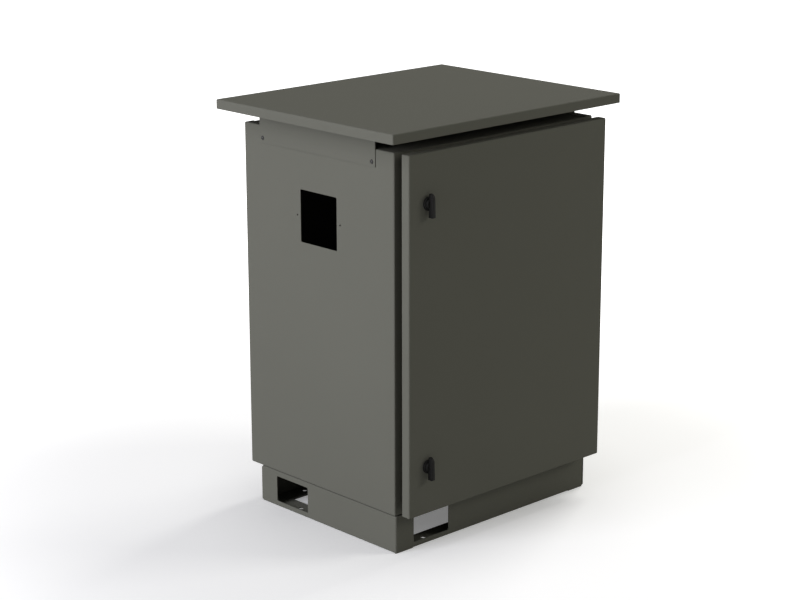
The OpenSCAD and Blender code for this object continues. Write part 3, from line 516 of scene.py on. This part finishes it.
def addWing(mesh):
    k = wingKnob
    for vert in bmesh.ops.create_cube(mesh, size=1.0)["verts"]:
        width = k["topWidth"] if vert.co.y > 0 else k["lowWidth"]
        rise = k["seat"] + (vert.co.z + 0.5) * k["height"]
        vert.co = (vert.co.x * width, vert.co.y * k["length"] - k["drop"], rise)
    middle = k["seat"] + k["height"] / 2
    shoulder = [e for e in mesh.edges if all(v.co.y > 0 and v.co.z > middle for v in e.verts)]
    bevelEdges(mesh, shoulder, k["shoulder"], k["shoulderSteps"])
    sharp = math.radians(k["edgeAngle"])
    rims = [e for e in mesh.edges if len(e.link_faces) == 2 and e.calc_face_angle() > sharp]
    bevelEdges(mesh, rims, k["edge"], k["edgeSteps"])


def addHub(mesh):
    k = wingKnob
    middle = k["seat"] + k["hubHeight"] / 2
    hub = set(bmesh.ops.create_cone(mesh, cap_ends=True, segments=k["hubAround"], radius1=k["hubRadii"][0],
                                    radius2=k["hubRadii"][1], depth=k["hubHeight"],
                                    matrix=Matrix.Translation((0, 0, middle)))["verts"])
    crown = [e for e in mesh.edges if all(v in hub and v.co.z > middle for v in e.verts)]
    bevelEdges(mesh, crown, k["hubEdge"], k["edgeSteps"])


def addSpindle(mesh):
    k = wingKnob
    depth = k["spindleDepth"] + k["seat"]
    bmesh.ops.create_cone(mesh, cap_ends=True, segments=k["spindleAround"], radius1=k["spindleRadius"],
                          radius2=k["spindleRadius"], depth=depth,
                          matrix=Matrix.Translation((0, 0, k["seat"] - depth / 2)))
    place = Matrix.Translation((0, 0, -k["spindleDepth"] - k["squareDepth"] / 2))
    shape = Matrix.Diagonal((k["squareSide"], k["squareSide"], k["squareDepth"], 1))
    bmesh.ops.create_cube(mesh, size=1.0, matrix=place @ shape)


def makeWingKnob(which):
    low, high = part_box(which + "_latch_barrel")
    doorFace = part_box("door_panel")[0].y
    axis = Vector(((low.x + high.x) / 2, doorFace, (low.z + high.z) / 2))
    mesh = bmesh.new()
    addWing(mesh)
    addHub(mesh)
    addSpindle(mesh)
    outward = Matrix.Rotation(math.radians(90), 4, "X")
    bmesh.ops.transform(mesh, verts=mesh.verts, matrix=Matrix.Translation(axis) @ outward)
    piece = addPiece(which + "Knob", mesh, which + "_latch", "black_plastic", which + "_wing_knob")
    smoothByAngle(piece, wingKnob["smoothAngle"])


makeDoorSeal()
for which in ("upper", "lower"):
    makeWingKnob(which)
print("new pieces: seal and knobs")


# camera, as the photograph was taken

camera = {
    "place": (-3.1070, -3.2086, 1.7072),
    "azimuth": -43.38,
    "elevation": 15.62,
    "roll": -0.10,
    "lens": 93.39,
    "sensor": 36.0,
    "clip": (0.05, 60.0),
}


def makeCamera():
    data = bpy.data.cameras.new("camera")
    data.lens = camera["lens"]
    data.sensor_width = camera["sensor"]
    data.clip_start, data.clip_end = camera["clip"]
    eye = bpy.data.objects.new("camera", data)
    scene.collection.objects.link(eye)
    a, e = math.radians(camera["azimuth"]), math.radians(camera["elevation"])
    back = Vector((math.sin(a) * math.cos(e), -math.cos(a) * math.cos(e), math.sin(e)))
    turn = (-back).to_track_quat("-Z", "Y").to_matrix().to_4x4()
    roll = Matrix.Rotation(math.radians(camera["roll"]), 4, "Z")
    eye.matrix_world = Matrix.Translation(camera["place"]) @ turn @ roll
    scene.camera = eye


# floor and light

floor = {
    "size": 30.0,
    "colour": (0.96, 0.96, 0.95),
    "glowUnder": 0.185,  # strength under the cabinet
    "glowBeside": 0.12,  # added round it
    "beside": (0.15, 0.6),
    "white": (0.7, 2.3),  # rises to white over this distance
}


def seenInPicture(tree):
    # 1 for the camera and for what shows in gloss and glass, 0 for the light that falls on the cabinet
    path = tree.nodes.new("ShaderNodeLightPath")
    mirrored = mathNode(tree, "MAXIMUM", path.outputs["Is Glossy Ray"], path.outputs["Is Transmission Ray"])
    return mathNode(tree, "MAXIMUM", path.outputs["Is Camera Ray"], mirrored)


def smoothRise(tree, value, span, low, high):
    node = addNode(tree, "ShaderNodeMapRange", interpolation_type="SMOOTHSTEP", From_Min=span[0],
                   From_Max=span[1], To_Min=low, To_Max=high)
    tree.links.new(value, node.inputs["Value"])
    return node.outputs["Result"]


def makePaleFloor():
    material = bpy.data.materials.new("paleFloor")
    material.use_nodes = True
    tree = material.node_tree
    tree.nodes.clear()
    output = tree.nodes.new("ShaderNodeOutputMaterial")
    diffuse = addNode(tree, "ShaderNodeBsdfDiffuse", Color=(*floor["colour"], 1))
    glow = tree.nodes.new("ShaderNodeEmission")
    both = tree.nodes.new("ShaderNodeAddShader")
    away = addNode(tree, "ShaderNodeVectorMath", operation="LENGTH")
    tree.links.new(objectCoords(tree), away.inputs[0])
    far = smoothRise(tree, away.outputs["Value"], floor["white"], floor["glowUnder"], 1.0)
    near = smoothRise(tree, away.outputs["Value"], floor["beside"], 0.0, floor["glowBeside"])
    strength = mathNode(tree, "ADD", far, near)
    tree.links.new(mathNode(tree, "MULTIPLY", seenInPicture(tree), strength), glow.inputs["Strength"])
    tree.links.new(diffuse.outputs["BSDF"], both.inputs[0])
    tree.links.new(glow.outputs["Emission"], both.inputs[1])
    tree.links.new(both.outputs["Shader"], output.inputs["Surface"])
    return material


def makeFloor():
    mesh = bmesh.new()
    bmesh.ops.create_grid(mesh, x_segments=1, y_segments=1, size=floor["size"] / 2)
    data = bpy.data.meshes.new("floor")
    mesh.to_mesh(data)
    mesh.free()
    data.materials.append(makePaleFloor())
    ground = bpy.data.objects.new("floor", data)
    scene.collection.objects.link(ground)
    return ground


sky = {"colour": (1.0, 0.995, 0.97), "light": 0.25}


def makeSky():
    world = bpy.data.worlds.new("sky")
    world.use_nodes = True
    scene.world = world
    tree = world.node_tree
    tree.nodes.clear()
    output = tree.nodes.new("ShaderNodeOutputWorld")
    light = addNode(tree, "ShaderNodeBackground", Color=(*sky["colour"], 1), Strength=sky["light"])
    white = addNode(tree, "ShaderNodeBackground", Color=(1, 1, 1, 1))
    mix = tree.nodes.new("ShaderNodeMixShader")
    tree.links.new(seenInPicture(tree), mix.inputs["Fac"])
    tree.links.new(light.outputs["Background"], mix.inputs[1])
    tree.links.new(white.outputs["Background"], mix.inputs[2])
    tree.links.new(mix.outputs["Shader"], output.inputs["Surface"])


lamps = [
    {"name": "leftSoftbox", "place": (-6.0, 0.8, 1.6), "aim": (0, 0, 0.3), "size": (3.4, 2.2),
     "power": 294.0, "colour": (0.95, 0.957, 1.08), "onFloor": True},
    {"name": "leftHighSoftbox", "place": (-6.0, 0.8, 5.2), "aim": (0, 0, 0.5), "size": (3.6, 5.5),
     "power": 404.0, "colour": (0.96, 0.962, 1.06), "onFloor": False},  # shades the side under the roof
    {"name": "rightSoftbox", "place": (3.2, 0.35, 3.6), "aim": (0, 0, 0.4), "size": (1.7, 1.7),
     "power": 76.0, "colour": (1.0, 0.99, 0.97), "onFloor": True},
    {"name": "frontRightSoftbox", "place": (4.5, -4.2, 3.1), "aim": (0, 0, 0.4), "size": (2.3, 2.0),
     "power": 122.0, "colour": (1.0, 0.99, 0.955), "onFloor": True},  # throws the knobs' shadows
]


def makeLamps(ground):
    offFloor = bpy.data.collections.new("offFloor")
    offFloor.objects.link(ground)
    offFloor.collection_objects[0].light_linking.link_state = "EXCLUDE"
    for lamp in lamps:
        data = bpy.data.lights.new(lamp["name"], "AREA")
        data.shape = "RECTANGLE"
        data.size, data.size_y = lamp["size"]
        data.energy = lamp["power"]
        data.color = lamp["colour"]
        softbox = bpy.data.objects.new(lamp["name"], data)
        scene.collection.objects.link(softbox)
        place = Vector(lamp["place"])
        turn = (Vector(lamp["aim"]) - place).to_track_quat("-Z", "Y").to_matrix().to_4x4()
        softbox.matrix_world = Matrix.Translation(place) @ turn
        if not lamp["onFloor"]:
            softbox.light_linking.receiver_collection = offFloor


makeCamera()
makeSky()
makeLamps(makeFloor())
print("stage: camera, floor, sky,", len(lamps), "lamps")
